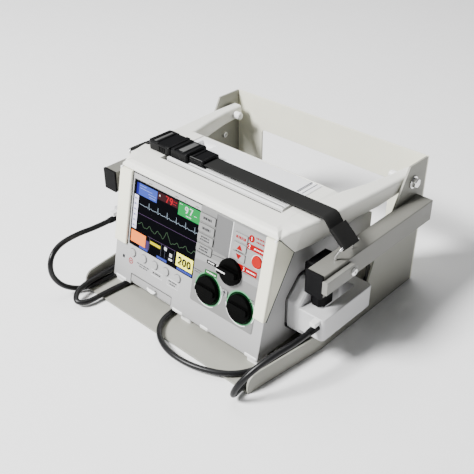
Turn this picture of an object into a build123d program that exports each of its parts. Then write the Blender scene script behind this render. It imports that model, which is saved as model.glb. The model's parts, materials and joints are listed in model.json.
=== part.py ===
"""Portable defibrillator with external paddles, strapped into a folded-steel cradle.

Millimetres, +Z up, front face towards -Y, +X to the right seen from the front.
Everything is drawn about the device's own centre plane and the tray's front edge,
then moved once so that the origin is the middle of the underside (see SHIFT).
"""
import os
from math import cos, sin, tan, radians

from build123d import *

os.makedirs("parts", exist_ok=True)

# ---------------------------------------------------------------- driving dimensions
SHEET = 2.5                    # cradle sheet steel
TRAY_HALF_FRONT = 142.2        # outside half width at the front edge
TRAY_HALF = 155.6              # outside half width from FLARE_Y back
FLARE_Y = 112.0
TRAY_DEPTH = 306.5
FLANGE_HEIGHT = 23.0
BACK_HEIGHT = 180.5
WINDOW_HALF = 108.0
WINDOW_Z = (28.0, 132.5)
WALL_HOLE_D = 6.6
WALL_HOLE_X = 130.0
WALL_HOLE_Z = (20.0, 60.0)

BAR_W = 22.4
BAR_H = 28.0
BAR_Y = (75.5, 290.0)
BAR_Z = 107.0
BAR_WALL = 2.5
CAP_LIP = 2.5
GUARD_T = 6.7

BODY_HALF = 125.0              # device half width
WALL = 3.0                     # moulding wall
FRONT_Y = 34.4                 # bottom edge of the sloping front
FRONT_Z = 16.6
FRONT_LEAN = 11.9              # degrees back from vertical
BODY_BOTTOM = 13.5
BODY_TOP = 152.0
BODY_REAR = 242.0
REAR_STEP_Y = 182.0
REAR_LOW = 118.0
PANEL_TOP_V = 147.0            # up the slope, where the cream top frame starts
DECK_TOP = 170.5

WELL_DEPTH = 8.0
WELL_CORNER = 8.0              # rounding of the eight corners of a paddle and its well
PADDLE_OUT = (127.0, 144.5)    # base plate, from the device's side outwards
GRIP_X = (164.0, 178.0)
GRIP_Z = (43.5, 72.5)
GRIP_Y = (81.0, 173.5)
GLAND_X = 169.3
GLAND_Z = 60.6
GLAND_FACE_Y = 66.0
BUTTON_TRAVEL = 3.0

CORD_D = 7.0
STRAP_W = 25.0
STRAP_T = 2.0
STRAP_Y = 123.5
STRAP_Z = 177.0

MOULD_FIT = 0.4                # gap round a moving key
SHIFT = (-4.75, -(TRAY_DEPTH / 2), 0)

# ---------------------------------------------------------------- helpers
FRONT = Plane(
    origin=(0, FRONT_Y, FRONT_Z),
    x_dir=(1, 0, 0),
    z_dir=(0, -cos(radians(FRONT_LEAN)), sin(radians(FRONT_LEAN))),
)


def block(x, y, z):
    """A box given by its three pairs of limits."""
    size = (x[1] - x[0], y[1] - y[0], z[1] - z[0])
    middle = ((x[0] + x[1]) / 2, (y[0] + y[1]) / 2, (z[0] + z[1]) / 2)
    return Pos(*middle) * Box(*size)


def side_prism(points, x0, x1):
    """A closed outline of (y, z) points carried from x0 to x1."""
    face = make_face(Plane.YZ * Polyline(*points, close=True))
    return Pos(x0, 0, 0) * extrude(face, x1 - x0, dir=(1, 0, 0))


def plan_prism(points, z0, z1):
    """A closed outline of (x, y) points carried from z0 to z1."""
    face = make_face(Polyline(*points, close=True))
    return Pos(0, 0, z0) * extrude(face, z1 - z0, dir=(0, 0, 1))


def cylinder_x(radius, x0, x1, y, z):
    return Pos((x0 + x1) / 2, y, z) * Rot(0, 90, 0) * Cylinder(radius, x1 - x0)


def cylinder_y(radius, y0, y1, x, z):
    return Pos(x, (y0 + y1) / 2, z) * Rot(90, 0, 0) * Cylinder(radius, y1 - y0)


def cylinder_z(radius, z0, z1, x, y):
    return Pos(x, y, (z0 + z1) / 2) * Cylinder(radius, z1 - z0)


def on_front(u, v, h0, h1, width, height, corner=0.0):
    """A plate on the sloping front: centre (u, v), from depth h0 to h1 along the normal."""
    sketch = RectangleRounded(width, height, corner) if corner else Rectangle(width, height)
    return FRONT * Pos(u, v, h0) * extrude(sketch, h1 - h0)


def disc_on_front(u, v, h0, h1, radius):
    return FRONT * Pos(u, v, h0) * extrude(Circle(radius), h1 - h0)


def mirrored(shape):
    return mirror(shape, about=Plane.YZ)


def cord_tube(points, name):
    """Straight runs joined by tangent arcs, each as large as its two runs allow."""
    vectors = [Vector(*p) for p in points]
    radii = []
    for before, here, after in zip(vectors, vectors[1:], vectors[2:]):
        turn = (here - before).get_angle(after - here)
        run = min((here - before).length, (after - here).length)
        radii.append(0.45 * run / tan(radians(turn / 2)))
    path = FilletPolyline(*vectors, radius=radii)
    start = Plane(origin=path @ 0, z_dir=path % 0)
    tube = sweep(start * Circle(CORD_D / 2), path=path)
    section = 3.14159265 * CORD_D ** 2 / 4
    print(name, "length", round(path.length, 1), "volume ratio",
          round(tube.volume / (section * path.length), 4))
    print(name, "radii", [round(r, 1) for r in radii])
    return tube


def save(name, *shapes):
    """Write one node: every shape given is a solid of its own in the file."""
    moved = [Pos(*SHIFT) * shape for shape in shapes]
    whole = moved[0] if len(moved) == 1 else Compound(children=moved)
    export_step(whole, f"parts/{name}.step")


# ---------------------------------------------------------------- cradle
def cradle_tray():
    outside = [(-TRAY_HALF_FRONT, 0), (TRAY_HALF_FRONT, 0), (TRAY_HALF, FLARE_Y),
               (TRAY_HALF, TRAY_DEPTH - SHEET), (-TRAY_HALF, TRAY_DEPTH - SHEET),
               (-TRAY_HALF, FLARE_Y)]
    inside = [(-TRAY_HALF_FRONT + SHEET, -1), (TRAY_HALF_FRONT - SHEET, -1),
              (TRAY_HALF - SHEET, FLARE_Y), (TRAY_HALF - SHEET, TRAY_DEPTH + 1),
              (-TRAY_HALF + SHEET, TRAY_DEPTH + 1), (-TRAY_HALF + SHEET, FLARE_Y)]
    ring = plan_prism(outside, 0, BACK_HEIGHT) - plan_prism(inside, -1, BACK_HEIGHT + 1)
    silhouette = side_prism(
        [(-1, -1), (-1, 0), (0, 0), (0, 11), (1.2, 16), (3.5, 19.5), (7, 22), (12, FLANGE_HEIGHT),
         (168, FLANGE_HEIGHT), (182, 27), (193, 36), (200, 50), (204, 62), (209, 77),
         (266, BACK_HEIGHT), (TRAY_DEPTH, BACK_HEIGHT), (TRAY_DEPTH, -1)],
        -200, 200)
    tray = plan_prism(outside, 0, SHEET) + (ring & silhouette)
    for side in (-1, 1):
        for y, z in BAR_SCREWS:
            tray -= cylinder_x(2.6, side * TRAY_HALF - 6, side * TRAY_HALF + 6, y, z)
        y, z = HANDLE_PIVOT
        tray -= cylinder_x(3.2, side * TRAY_HALF - 6, side * TRAY_HALF + 6, y, z)
    for x, y in FOOT_SCREWS:
        tray -= cylinder_z(2.6, -1, SHEET + 1, x, y)
        tray -= Pos(x, y, 1.2) * Cone(5.0, 2.6, 2.4)
    return tray


def cradle_back_plate():
    plate = block((-TRAY_HALF, TRAY_HALF), (TRAY_DEPTH - SHEET, TRAY_DEPTH), (0, BACK_HEIGHT))
    middle = (WINDOW_Z[0] + WINDOW_Z[1]) / 2
    window = extrude(RectangleRounded(2 * WINDOW_HALF, WINDOW_Z[1] - WINDOW_Z[0], 5), 20)
    plate -= Pos(0, TRAY_DEPTH + 8, middle) * Rot(90, 0, 0) * window
    for x in (-WALL_HOLE_X, WALL_HOLE_X):
        for z in WALL_HOLE_Z:
            plate -= cylinder_y(WALL_HOLE_D / 2, TRAY_DEPTH - 10, TRAY_DEPTH + 10, x, z)
    return plate


BAR_SCREWS = [(240.0, 121.0), (274.0, 121.0)]
HANDLE_PIVOT = (276.0, 157.0)
FOOT_SCREWS = [(-118, 47), (4, 47), (114, 47), (-104, 225), (104, 225)]
BAR_X = (TRAY_HALF, TRAY_HALF + BAR_W)
SLOT_Z = (112.0, 120.0)
SLOT_Y = (102.0, 216.0)


def side_bar(guard_hole, hook_x):
    bar = block(BAR_X, BAR_Y, (BAR_Z, BAR_Z + BAR_H))
    bar = fillet(bar.edges().filter_by(Axis.Y), 1.2)
    bar -= block((BAR_X[0] + BAR_WALL, BAR_X[1] - BAR_WALL), (0, 400),
                 (BAR_Z + BAR_WALL, BAR_Z + BAR_H - BAR_WALL))
    bar -= block((BAR_X[0] - 1, BAR_X[0] + BAR_WALL + 1), SLOT_Y, SLOT_Z)
    for y, z in BAR_SCREWS:
        bar -= cylinder_x(2.6, BAR_X[0] - 1, BAR_X[0] + BAR_WALL + 1, y, z)
    for y in HOOK_LEGS_Y:
        bar -= cylinder_z(HOOK_WIRE / 2 + 0.2, BAR_Z + BAR_H - BAR_WALL - 1, BAR_Z + BAR_H + 1,
                          hook_x, y)
    if guard_hole:
        bar -= cylinder_x(2.6, BAR_X[1] - BAR_WALL - 1, BAR_X[1] + 1, *GUARD_SCREW)
    return bar


def end_cap():
    lip = block(BAR_X, (BAR_Y[0] - CAP_LIP, BAR_Y[0]), (BAR_Z - 0.8, BAR_Z + BAR_H + 0.8))
    lip = fillet(lip.edges().filter_by(Axis.Y), 1.5)
    return lip + bar_plug(BAR_Y[0], BAR_Y[0] + 9)


def bar_plug(y0, y1):
    return block((BAR_X[0] + BAR_WALL + 0.1, BAR_X[1] - BAR_WALL - 0.1), (y0, y1),
                 (BAR_Z + BAR_WALL + 0.1, BAR_Z + BAR_H - BAR_WALL - 0.1))


GUARD_SCREW = (119.0, 122.5)
HOOK_X = 168.0
LEFT_HOOK_X = 162.0                        # the left hook stands nearer the cradle's wall
HOOK_WIRE = 3.0
HOOK_EYE = (174.0, 151.2)                  # x and z of the wire's cross piece
LEFT_HOOK_EYE = (166.0, 151.2)
HOOK_LEGS_Y = (108.0, 139.0)


def guard_plate():
    plate = block((BAR_X[1], BAR_X[1] + GUARD_T), (73.0, 127.0), (114.7, 130.7))
    plate = chamfer(plate.edges().filter_by(Axis.X).group_by(Axis.Y)[-1], 5)
    plate = fillet(plate.edges().filter_by(Axis.Y), 0.8)
    return plate - cylinder_x(2.6, BAR_X[1] - 1, BAR_X[1] + GUARD_T + 1, *GUARD_SCREW)


def button_screw(length):
    """Button-head M5 pointing along +X from its head's underside at the origin."""
    head = Pos(-1.4, 0, 0) * Rot(0, 90, 0) * Cylinder(4.6, 2.8)
    head = fillet(head.edges().group_by(Axis.X)[0], 1.6)
    socket = Pos(-2.4, 0, 0) * Rot(0, 90, 0) * extrude(RegularPolygon(1.6, 6), 1.6, both=True)
    shank = Pos(length / 2, 0, 0) * Rot(0, 90, 0) * Cylinder(2.5, length)
    return (head - socket) + shank


def handle_bolt():
    """Flanged hex bolt from outside the ear, through the handle arm's eye."""
    y, z = HANDLE_PIVOT
    face = TRAY_HALF
    washer = cylinder_x(8.0, face, face + 1.6, y, z)
    hexagon = Pos(face + 1.6, y, z) * Rot(0, 90, 0) * extrude(RegularPolygon(6.5, 6), 5.4)
    hexagon = chamfer(hexagon.edges().group_by(Axis.X)[-1], 0.8)
    shank = cylinder_x(3.0, 127.0, face, y, z)
    return washer + hexagon + shank


def handle_cap_nut():
    y, z = HANDLE_PIVOT
    nut = cylinder_x(5.4, 123.0, 133.3, y, z)
    nut = fillet(nut.edges().group_by(Axis.X)[0], 2.4)
    return nut - cylinder_x(3.05, 126.6, 140.0, y, z)


def retainer():
    """Block that slides in the bar's slot and stands over the stowed paddle's grip."""
    lower = block((145.5, 163.5), (95.5, 120.0), (74.0, 106.4))
    lower = chamfer(lower.edges().filter_by(Axis.Z), 5)
    upper = block((136.0, TRAY_HALF - 0.4), (98.0, 133.5), (105.0, 124.8))
    upper = chamfer(upper.edges().group_by(Axis.Z)[-1], 2)
    upper -= block((BAR_X[0] - 0.4, 170), (90, 140), (100, 130))
    neck = block((TRAY_HALF - 1, BAR_X[0] + BAR_WALL + 0.4), (104.0, 130.0),
                 (SLOT_Z[0] + 0.3, SLOT_Z[1] - 0.3))
    head = block((BAR_X[0] + BAR_WALL + 0.4, BAR_X[0] + BAR_WALL + 3.6), (104.0, 130.0),
                 (110.3, 122.5))
    return upper + lower + neck + head


# ---------------------------------------------------------------- device housing
def slope_point(v, h=0.0):
    """The (y, z) of a point v up the sloping front and h out from it."""
    lean = radians(FRONT_LEAN)
    return (FRONT_Y + v * sin(lean) - h * cos(lean), FRONT_Z + v * cos(lean) + h * sin(lean))


WELL = [(82, 38), (82, 75), (103, 98), (157, 98), (178, 75), (178, 38), (161, 21), (99, 21)]


def well_prism(grow, x0, x1):
    face = make_face(Plane.YZ * Polyline(*WELL, close=True))
    face = fillet(face.vertices(), WELL_CORNER)
    if grow:
        face = offset(face, grow)
    return Pos(x0, 0, 0) * extrude(face, x1 - x0, dir=(1, 0, 0))


def body_profile():
    foot = slope_point(-3.0)
    return [foot, slope_point(PANEL_TOP_V), (74.0, slope_point(PANEL_TOP_V)[1]), (74.0, BODY_TOP),
            (REAR_STEP_Y, BODY_TOP), (BODY_REAR, REAR_LOW), (BODY_REAR, BODY_BOTTOM)]


def inner_profile():
    foot = slope_point(0.4, -WALL)
    top = slope_point(PANEL_TOP_V - WALL, -WALL)
    return [foot, top, (74.0 - WALL, top[1]), (74.0 - WALL, BODY_TOP - WALL),
            (REAR_STEP_Y - 1, BODY_TOP - WALL), (BODY_REAR - WALL, REAR_LOW - 2),
            (BODY_REAR - WALL, BODY_BOTTOM + WALL)]


def body_outer():
    outer = side_prism(body_profile(), -BODY_HALF, BODY_HALF)
    return fillet(outer.edges().filter_by(Axis.X).group_by(Axis.Z)[0], 2.5)


SOFT_KEYS = [(-92.5, 41.0), (-72.0, 41.0), (-51.5, 41.0), (-31.5, 41.0), (-11.0, 41.0)]
SIDE_KEYS = [(25.0, 133.0), (25.0, 120.5), (25.0, 108.0), (25.0, 95.5)]
ARROW_KEYS = [(76.5, 119.6), (76.5, 108.4)]
CHARGE_KEY = (76.5, 131.0)
SHOCK_KEY = (102.5, 112.5)
HELP_KEY = (64.5, 57.0)
KNOBS = {"knob_selector": (69.0, 86.5, 16.0, 11.0), "knob_output": (39.0, 49.5, 17.0, 8.0),
         "knob_rate": (89.5, 49.5, 17.0, 8.0)}
SCREEN = (-44.5, 94.5, 112.0, 86.0)        # centre and size of the viewing area
PANEL = (62.0, 85.8, 99.0, 122.0)          # grey control area
PANEL_T = 1.5
DOOR_U = (-92.0, -18.0)
DOOR_V = (0.8, 10.8)
DOOR_PIN = (2.0, -1.4)                     # hinge line: v, h


def key_openings(grow, h0, h1):
    """Every key's hole, as one list of solids."""
    cuts = [disc_on_front(u, v, h0, h1, 5.0 + grow) for u, v in SOFT_KEYS]
    cuts += [on_front(u, v, h0, h1, 24 + 2 * grow, 9.6 + 2 * grow, 1.5) for u, v in SIDE_KEYS]
    cuts += [on_front(u, v, h0, h1, 18 + 2 * grow, 9.0 + 2 * grow, 1.5) for u, v in ARROW_KEYS]
    cuts.append(on_front(*CHARGE_KEY, h0, h1, 18 + 2 * grow, 9.0 + 2 * grow, 1.5))
    cuts.append(disc_on_front(*SHOCK_KEY, h0, h1, 7.0 + grow))
    cuts.append(on_front(*HELP_KEY, h0, h1, 9 + 2 * grow, 8.0 + 2 * grow, 1.5))
    return cuts


def housing_shell():
    inside = side_prism(inner_profile(), -BODY_HALF + WALL, BODY_HALF - WALL)
    boss = well_prism(WALL + 1, BODY_HALF - WELL_DEPTH - WALL, BODY_HALF)
    shell = body_outer() - (inside - boss - mirrored(boss))
    well = well_prism(1.0, BODY_HALF - WELL_DEPTH, BODY_HALF + 5)
    shell -= well
    shell -= mirrored(well)
    shell -= on_front(SCREEN[0], SCREEN[1], -10, 10, SCREEN[2] + 2, SCREEN[3] + 2, 2)
    shell -= on_front(PANEL[0], PANEL[1], -PANEL_T + 0.3, 10, PANEL[2], PANEL[3], 3)
    for cut in key_openings(MOULD_FIT, -10, 10):
        shell -= cut
    for u, v, radius, proud in KNOBS.values():
        shell -= disc_on_front(u, v, -10, 10, 3.4)
    door_v = (DOOR_V[0] + DOOR_V[1]) / 2
    door_u = (DOOR_U[0] + DOOR_U[1]) / 2
    shell -= on_front(door_u, door_v + 0.6, -16, 10, DOOR_U[1] - DOOR_U[0] + 0.8, 11.6)
    shell -= on_front(door_u, -1.5, -3.2, 10, DOOR_U[1] - DOOR_U[0] + 0.8, 6)
    pin_v, pin_h = DOOR_PIN
    for end in DOOR_U:
        pocket = cylinder_x(0.85, -4, 4, 0, 0)
        shell -= FRONT * Pos(end, pin_v, pin_h) * Rot(0, 0, 0) * Pos(0, 0, 0) * pocket
    shell -= block((BATTERY_X[0] - 2, BATTERY_X[1] + 2), (BATTERY_Y[0] - 2, BATTERY_Y[1] + 2),
                   (BODY_TOP - WALL - 2, BODY_TOP + 5))
    socket = block((SOCKET_X[0], SOCKET_X[1]), (BODY_REAR - WALL - 1, BODY_REAR + 1), (26, 40))
    shell -= socket
    for x, y in FOOT_SCREWS:
        shell -= cylinder_z(2.1, BODY_BOTTOM - 4, BODY_BOTTOM + WALL + 3, x, y)
    return shell


BATTERY_X = (-96.0, 97.0)
BATTERY_Y = (143.2, 175.0)
DECK_REAR = 176.6
BATTERY_Z = (104.0, 170.6)
RECORDER_X = (-92.0, 101.0)
RECORDER_Y = (97.0, 137.5)
RECORDER_FLOOR = 161.0
SOCKET_X = (42.0, 70.0)


# Stations of the right arm: y, inner x, shoulder x and skirt x, then the heights of the inner
# top, the shoulder, the skirt's lower edge and the inner lower edge, and the corner radius.
ARM = [(67.0, 112.0, 126.0, 125.9, 168.0, 163.2, 159.6, 159.6, 1.2),
       (76.0, 112.0, 130.5, 127.0, 170.2, 167.0, 150.2, 150.2, 2.5),
       (90.0, 112.0, 136.0, 128.5, 170.5, 169.0, 135.4, 135.4, 3.5),
       (115.0, 112.0, 140.5, 131.5, 170.5, 169.4, 133.5, 133.5, 4.0),
       (150.0, 112.0, 143.6, 136.5, 170.3, 168.8, 134.5, 134.5, 4.5),
       (185.0, 117.0, 146.4, 141.5, 169.2, 168.0, 141.0, 145.0, 4.5),
       (220.0, 126.0, 149.0, 146.0, 168.0, 167.4, 140.0, 148.0, 4.5),
       (255.0, 132.0, 151.0, 149.6, 167.0, 166.8, 143.8, 149.5, 4.5),
       (290.5, 135.5, 151.9, 151.4, 166.0, 166.0, 144.5, 149.5, 4.5)]


def arm_section(y, inner, shoulder, skirt, z_inner, z_shoulder, z_skirt, z_under, corner):
    outline = make_face(Plane.XZ.offset(-y) * Polyline(
        (inner, z_under), (skirt, z_skirt), (shoulder, z_shoulder), (inner, z_inner), close=True))
    return fillet(outline.vertices(), corner)


def top_frame_handle():
    """Cream top moulding: visor, deck and the two arms of the carrying handle."""
    lip = slope_point(PANEL_TOP_V + 0.6)
    visor = [lip, slope_point(PANEL_TOP_V + 0.6, 1.2), slope_point(152.5, 1.0), (67.5, 168.3),
             (72.0, 169.6), (97.0, DECK_TOP), (DECK_REAR, DECK_TOP), (DECK_REAR, BODY_TOP),
             (74.0, BODY_TOP), (74.0, lip[1])]
    deck = side_prism(visor, -BODY_HALF, BODY_HALF)
    for side in (-1, 1):
        slope = Polyline((side * 113.0, DECK_TOP), (side * 121.0, 168.4), (side * 126.0, 163.4),
                         (side * 126.0, 180.0), (side * 113.0, 180.0), close=True)
        deck -= extrude(make_face(Plane.XZ * slope), 400, dir=(0, 1, 0))
    arm = loft([arm_section(*station) for station in ARM], ruled=True)
    arm -= body_outer()
    y, z = HANDLE_PIVOT
    arm -= cylinder_x(3.1, 100, 160, y, z)
    frame = deck + arm + mirrored(arm)
    frame -= block(RECORDER_X, RECORDER_Y, (RECORDER_FLOOR, 200))
    frame -= block((BATTERY_X[0] - 0.8, BATTERY_X[1] + 0.8), (BATTERY_Y[0] - 0.8, BATTERY_Y[1] + 0.8),
                   (BODY_TOP - 5, 200))
    return frame


def column(inner, outer, side):
    """Cream pillar beside the panel, proud of the front, wrapping on to the device's side."""
    width = outer - inner
    bottom, top = 49.0, PANEL_TOP_V
    pillar = on_front((inner + outer) / 2, (bottom + top) / 2, 0, 3.6, width, top - bottom)
    pillar = fillet(pillar.edges().filter_by(lambda e: e.length > top - bottom - 1), 1.6)
    cheek = [slope_point(bottom, 0.6), slope_point(top, 0.6), (88.0, slope_point(top)[1] - 10),
             (90.0, 135.0), (slope_point(bottom)[0] + 1.5, slope_point(bottom)[1])]
    wrap = side_prism(cheek, BODY_HALF, BODY_HALF + 1.4)
    wrap = wrap if side > 0 else mirrored(wrap)
    return pillar, wrap


def columns():
    pillar, wrap = column(110.5, BODY_HALF + 1.4, 1)
    right = pillar + wrap
    cut = on_front(BODY_HALF - 12.5, 144.0, 0.2, 10, 20, 30)
    left_pillar, left_wrap = column(-BODY_HALF - 1.4, -104.5, -1)
    left = left_pillar + left_wrap
    below = ARM_ENVELOPE_CUT()
    return left - mirrored(below), right - below


def ARM_ENVELOPE_CUT():
    """The skirt of the top frame, which the pillars' cheeks stop against."""
    skirt = loft([arm_section(*station) for station in ARM[:3]], ruled=True)
    return skirt + block((100, 140), (60, 100), (slope_point(PANEL_TOP_V)[1] + 0.1, 200))


def control_panel():
    panel = on_front(PANEL[0], PANEL[1], -PANEL_T + 0.3, 0.3, PANEL[2], PANEL[3], 3)
    for cut in key_openings(MOULD_FIT, -10, 10):
        panel -= cut
    for u, v, radius, proud in KNOBS.values():
        panel -= disc_on_front(u, v, -10, 10, 3.4)
    return panel - on_front(120.9, PANEL[1], 0, 10, 21.4, 200)


def display_glass():
    return on_front(SCREEN[0], SCREEN[1], -2.4, -0.6, SCREEN[2] + 1.8, SCREEN[3] + 1.8, 2)


def display_module():
    return on_front(SCREEN[0] - 1.5, SCREEN[1] + 0.5, -10.0, -2.4, SCREEN[2] - 2, SCREEN[3] - 3, 1)


def round_key(u, v, radius, proud):
    cap = disc_on_front(u, v, -5.0, proud, radius)
    cap = fillet(cap.edges().filter_by(GeomType.CIRCLE).group_by(SortBy.AREA)[0][0:0] or
                 cap.edges().filter_by(GeomType.CIRCLE).sort_by(Axis.Y)[0], 0.6)
    return cap + disc_on_front(u, v, -6.4, -5.0, radius + 1.2)


def square_key(u, v, width, height, proud):
    cap = on_front(u, v, -5.0, proud, width, height, 1.3)
    return cap + on_front(u, v, -6.2, -5.0, width + 1.6, height + 1.6, 1.6)


def knob(u, v, radius, proud):
    """Skirted pointer knob on a 6 mm shaft."""
    skirt = FRONT * Pos(u, v, 0.8) * extrude(Circle(radius), 4.2, taper=6)
    bar = FRONT * Pos(u, v, 4.0) * extrude(RectangleRounded(2 * radius - 5, 8.5, 2.5), proud - 4.0)
    shaft = disc_on_front(u, v, -13.0, 1.2, 3.0)
    return skirt + bar + shaft


def rotary_switch(u, v):
    body = disc_on_front(u, v, -14.5, -WALL - 0.6, 11.0)
    return body - disc_on_front(u, v, -13.3, 0, 3.06)


def card_door():
    """Flap over the card slot, hinged along its lower edge, with a pull tab."""
    u = (DOOR_U[0] + DOOR_U[1]) / 2
    v = (DOOR_V[0] + DOOR_V[1]) / 2
    width = DOOR_U[1] - DOOR_U[0]
    door = on_front(u, v + 0.6, -2.4, -0.4, width, 10.0)
    pin_v, pin_h = DOOR_PIN
    door += FRONT * Pos(u, pin_v, pin_h) * Rot(0, 90, 0) * Cylinder(0.8, width + 5)
    tab = on_front(-51.0, 6.0, -0.5, 2.6, 12.0, 4.0, 1.2)
    return door + tab


def recorder_cover():
    """Lid over the strip-chart recorder, ribbed along its length."""
    lid = block((-87.0, 97.5), (103.0, 136.8), (RECORDER_FLOOR, 171.0))
    lid = fillet(lid.edges().filter_by(Axis.X).group_by(Axis.Z)[-1], 2.2)
    step = block((-90.5, 99.5), (97.6, 103.0), (RECORDER_FLOOR, 166.2))
    cover = lid + step
    for y in (107.0, 112.0):
        cover -= block((-86.0, 96.5), (y, y + 1.6), (169.6, 180))
    return cover


def battery_pack():
    pack = block(BATTERY_X, BATTERY_Y, BATTERY_Z)
    pack = fillet(pack.edges().group_by(Axis.Z)[-1], 1.5)
    pull = block((-88, -64), (BATTERY_Y[0] + 8, BATTERY_Y[1] - 8), (BATTERY_Z[1] - 6, 200))
    ridge = block((84.0, 88.0), (BATTERY_Y[0] + 2, BATTERY_Y[1] - 2), (BATTERY_Z[1] - 1.2, 200))
    return pack - pull - ridge


def front_board():
    board = on_front(56, 76, -18.5, -16.9, 120, 118, 1)
    return board


def main_chassis():
    shelf = block((-108, 108), (86, 232), (BATTERY_Z[0] - 2.0, BATTERY_Z[0] - 0.0))
    leg = block((-108, -106), (86, 232), (BODY_BOTTOM + WALL, BATTERY_Z[0] - 2.0))
    other = block((106, 108), (86, 232), (BODY_BOTTOM + WALL, BATTERY_Z[0] - 2.0))
    return shelf + leg + other


def hv_capacitor():
    can = cylinder_x(24.0, -80.0, 20.0, 190.0, BODY_BOTTOM + WALL + 24.0)
    posts = cylinder_x(5.0, 20.0, 26.0, 181.0, BODY_BOTTOM + WALL + 24.0)
    posts += cylinder_x(5.0, 20.0, 26.0, 199.0, BODY_BOTTOM + WALL + 24.0)
    return can + posts


def device_feet():
    feet = []
    for x, y in FOOT_SCREWS:
        foot = block((x - 9, x + 9), (y - 9, y + 9), (SHEET, BODY_BOTTOM))
        foot = fillet(foot.edges().filter_by(Axis.Z), 3)
        feet.append(foot - cylinder_z(2.1, SHEET - 1, BODY_BOTTOM + 1, x, y))
    return feet


def foot_screws():
    screws = []
    for x, y in FOOT_SCREWS:
        head = Pos(x, y, 1.3) * Cone(4.5, 2.3, 2.0)
        head -= cylinder_z(1.5, -1, 1.0, x, y)
        screws.append(head + cylinder_z(2.0, 2.2, BODY_BOTTOM + 2.6, x, y))
    return screws


# ---------------------------------------------------------------- paddles
def paddle():
    """Moulded paddle: base plate standing in the side well, with a parallel grip."""
    base = well_prism(0, *PADDLE_OUT)
    base = chamfer(base.edges().filter_by(Plane.YZ).group_by(Axis.X)[-1], 2.0)
    rim = well_prism(-3.0, BODY_HALF - WELL_DEPTH + 2.0, PADDLE_OUT[0])
    grip = block((PADDLE_OUT[1] - 1, GRIP_X[1]), GRIP_Y, GRIP_Z)
    grip = fillet(grip.edges().filter_by(Axis.Z).group_by(Axis.X)[-1], 5)
    grip = fillet(grip.edges().group_by(Axis.Z)[-1].sort_by(Axis.X)[1:], 1.2)
    gap = block((PADDLE_OUT[1], GRIP_X[0]), (98.0, 158.0), (GRIP_Z[0] - 1, GRIP_Z[1] + 1))
    gap = fillet(gap.edges().filter_by(Axis.Z), 3)
    body = base + rim + (grip - gap)
    body -= cylinder_y(4.4, GRIP_Y[0] - 1, GRIP_Y[0] + 8, GLAND_X, GLAND_Z)
    body -= block((165.0, 173.6), (GRIP_Y[0] - 1, GRIP_Y[0] + 8.5), (65.6, 71.5))
    return body


def paddle_button():
    button = block((165.4, 173.2), (72.0, GRIP_Y[0] + 4.5), (66.0, 71.1))
    return fillet(button.edges().filter_by(Axis.Z), 0.8)


def paddle_electrode():
    return well_prism(-4.5, BODY_HALF - WELL_DEPTH + 0.6, BODY_HALF - WELL_DEPTH + 2.0)


def paddle_gland():
    collar = cylinder_y(4.3, GLAND_FACE_Y + 6, GRIP_Y[0] + 7, GLAND_X, GLAND_Z)
    nose = Pos(GLAND_X, GLAND_FACE_Y + 3, GLAND_Z) * Rot(90, 0, 0) * Cone(4.3, 3.9, 6)
    return collar + nose


def well_gasket():
    ring = well_prism(1.7, BODY_HALF, BODY_HALF + 0.5)
    return ring - well_prism(1.2, BODY_HALF - 1, BODY_HALF + 3)


# ---------------------------------------------------------------- strap
RIGHT_BEND = [(145.5, STRAP_Z), (150.0, STRAP_Z - 3.0), (157.0, STRAP_Z - 12.0), (171.0, 152.0)]
LEFT_BEND = [(143.0, STRAP_Z), (147.0, STRAP_Z - 2.8), (151.5, STRAP_Z - 9.0), (165.0, 153.0)]
RIGHT_FOLD = [(158.0, 168.6), (178.4, 150.7)]
LEFT_FOLD = [(152.0, 170.2), (170.4, 150.1)]


def webbing(points, width=STRAP_W, thick=STRAP_T):
    """A flat band in the X-Z plane, thickened downwards, across STRAP_Y."""
    upper = [Vector(x, 0, z) for x, z in points]
    lower = []
    for i, here in enumerate(upper):
        before = upper[max(i - 1, 0)]
        after = upper[min(i + 1, len(upper) - 1)]
        along = (after - before).normalized()
        normal = Vector(along.Z, 0, -along.X)
        if normal.Z > 0:
            normal = normal * -1
        lower.append(here + normal * thick)
    outline = [(p.X, p.Z) for p in upper] + [(p.X, p.Z) for p in reversed(lower)]
    face = make_face(Plane.XZ * Polyline(*outline, close=True))
    return Pos(0, STRAP_Y + width / 2, 0) * extrude(face, width, dir=(0, -1, 0))


def strap_end(line, eye_place):
    """Webbing folded back on itself round the hook's wire."""
    fold = webbing(line, STRAP_W + 2, 5.4)
    x, z = eye_place
    eye = Pos(x, STRAP_Y, z) * Rot(90, 0, 0) * Cylinder(HOOK_WIRE / 2 + 0.3, 60)
    return fold - eye


def strap_right():
    band = webbing([(-34.0, STRAP_Z)] + RIGHT_BEND)
    return band + strap_end(RIGHT_FOLD, HOOK_EYE)


def strap_left():
    points = [(-x, z) for x, z in LEFT_BEND]
    band = webbing([(-121.0, STRAP_Z)] + points)
    return band + mirrored(strap_end(LEFT_FOLD, LEFT_HOOK_EYE))


BUCKLE_Z = (171.2, 182.0)


def buckle_female():
    shell = block((-122.0, -84.0), (STRAP_Y - 19, STRAP_Y + 19), BUCKLE_Z)
    shell = fillet(shell.edges().filter_by(Axis.Z), 4)
    shell = fillet(shell.edges().group_by(Axis.Z)[-1], 1.6)
    shell -= block((-108, -80), (STRAP_Y - 14, STRAP_Y + 14), (BUCKLE_Z[0] + 2, BUCKLE_Z[1] - 2.4))
    for side in (-1, 1):
        shell -= block((-104, -92), (STRAP_Y + side * 17 - 4, STRAP_Y + side * 17 + 4),
                       (BUCKLE_Z[0] + 2, BUCKLE_Z[1] - 2.4))
    return shell - block((-125, -112), (STRAP_Y - 13, STRAP_Y + 13), (174.7, 177.3))


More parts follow.
